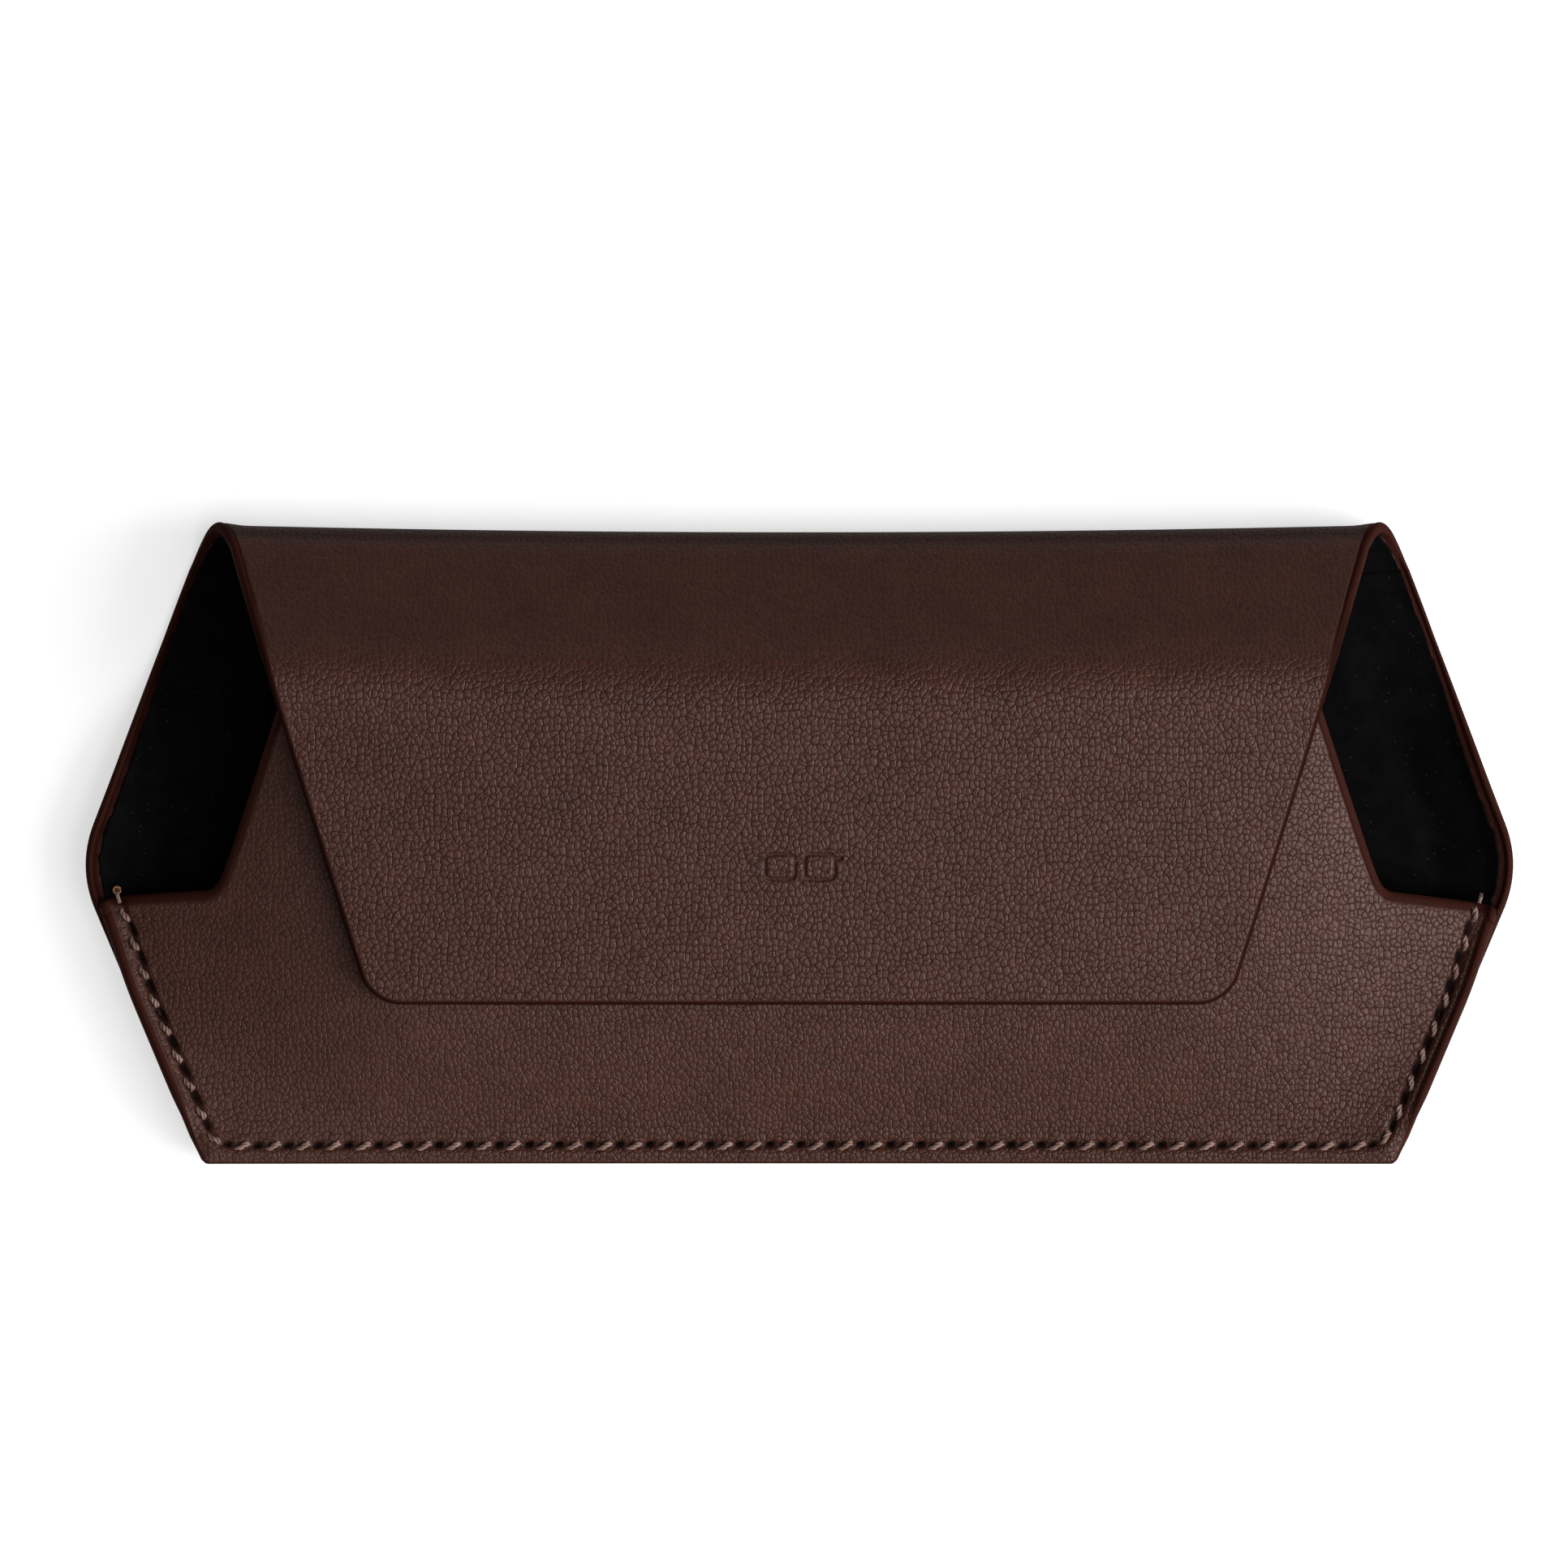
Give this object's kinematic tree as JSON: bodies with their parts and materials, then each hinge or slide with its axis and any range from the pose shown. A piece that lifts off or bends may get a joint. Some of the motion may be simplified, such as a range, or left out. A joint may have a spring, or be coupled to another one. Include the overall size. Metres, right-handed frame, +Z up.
{
  "type": "eyeglasses case",
  "caption": "Soft brown leather envelope case for spectacles, with a fold-over flap and a sewn front pocket with a tongue.",
  "frame": {"origin": "middle of the case's plan, on the table plane it lies on", "axes": "+X along the fold, to the right with the flap facing up; +Y from the sewn bottom edge to the fold; +Z up out of the flap"},
  "size_m": [0.165, 0.0733, 0.0188],
  "materials": {
    "brown_leather": "fine pebbled grain, satin, smooth dark edges",
    "black_suede": "short brushed nap, matt",
    "stiffening_board": "matt",
    "nickel_magnet": "nickel plated",
    "brown_thread": "twisted polyester thread"
  },
  "bodies": {
    "case": {"back_cover": "brown_leather", "back_board": "stiffening_board", "back_lining": "black_suede", "pocket_cover": "brown_leather", "pocket_board": "stiffening_board", "pocket_lining": "black_suede", "pocket_magnet_left": "nickel_magnet", "pocket_magnet_right": "nickel_magnet", "seam_needle_thread": "brown_thread", "seam_bobbin_thread": "brown_thread"},
    "fold": {"fold_cover": "brown_leather", "fold_lining": "black_suede"},
    "flap": {"flap_cover": "brown_leather", "flap_board": "stiffening_board", "flap_lining": "black_suede", "flap_magnet_left": "nickel_magnet", "flap_magnet_right": "nickel_magnet"}
  },
  "joints": [
    {"name": "fold_hinge_1", "type": "hinge", "parent": "case", "child": "fold", "pos_m": [0, 0.03446, 0.00111], "axis": [-1, 0, 0], "range_deg": [0, 74]},
    {"name": "fold_hinge_2", "type": "hinge", "parent": "fold", "child": "flap", "pos_m": [0, 0.03628, 0.00747], "axis": [-1, 0, 0], "range_deg": [0, 74]}
  ],
  "couplings": [
    {"joint": "fold_hinge_2", "follows": "fold_hinge_1", "ratio": 1}
  ]
}
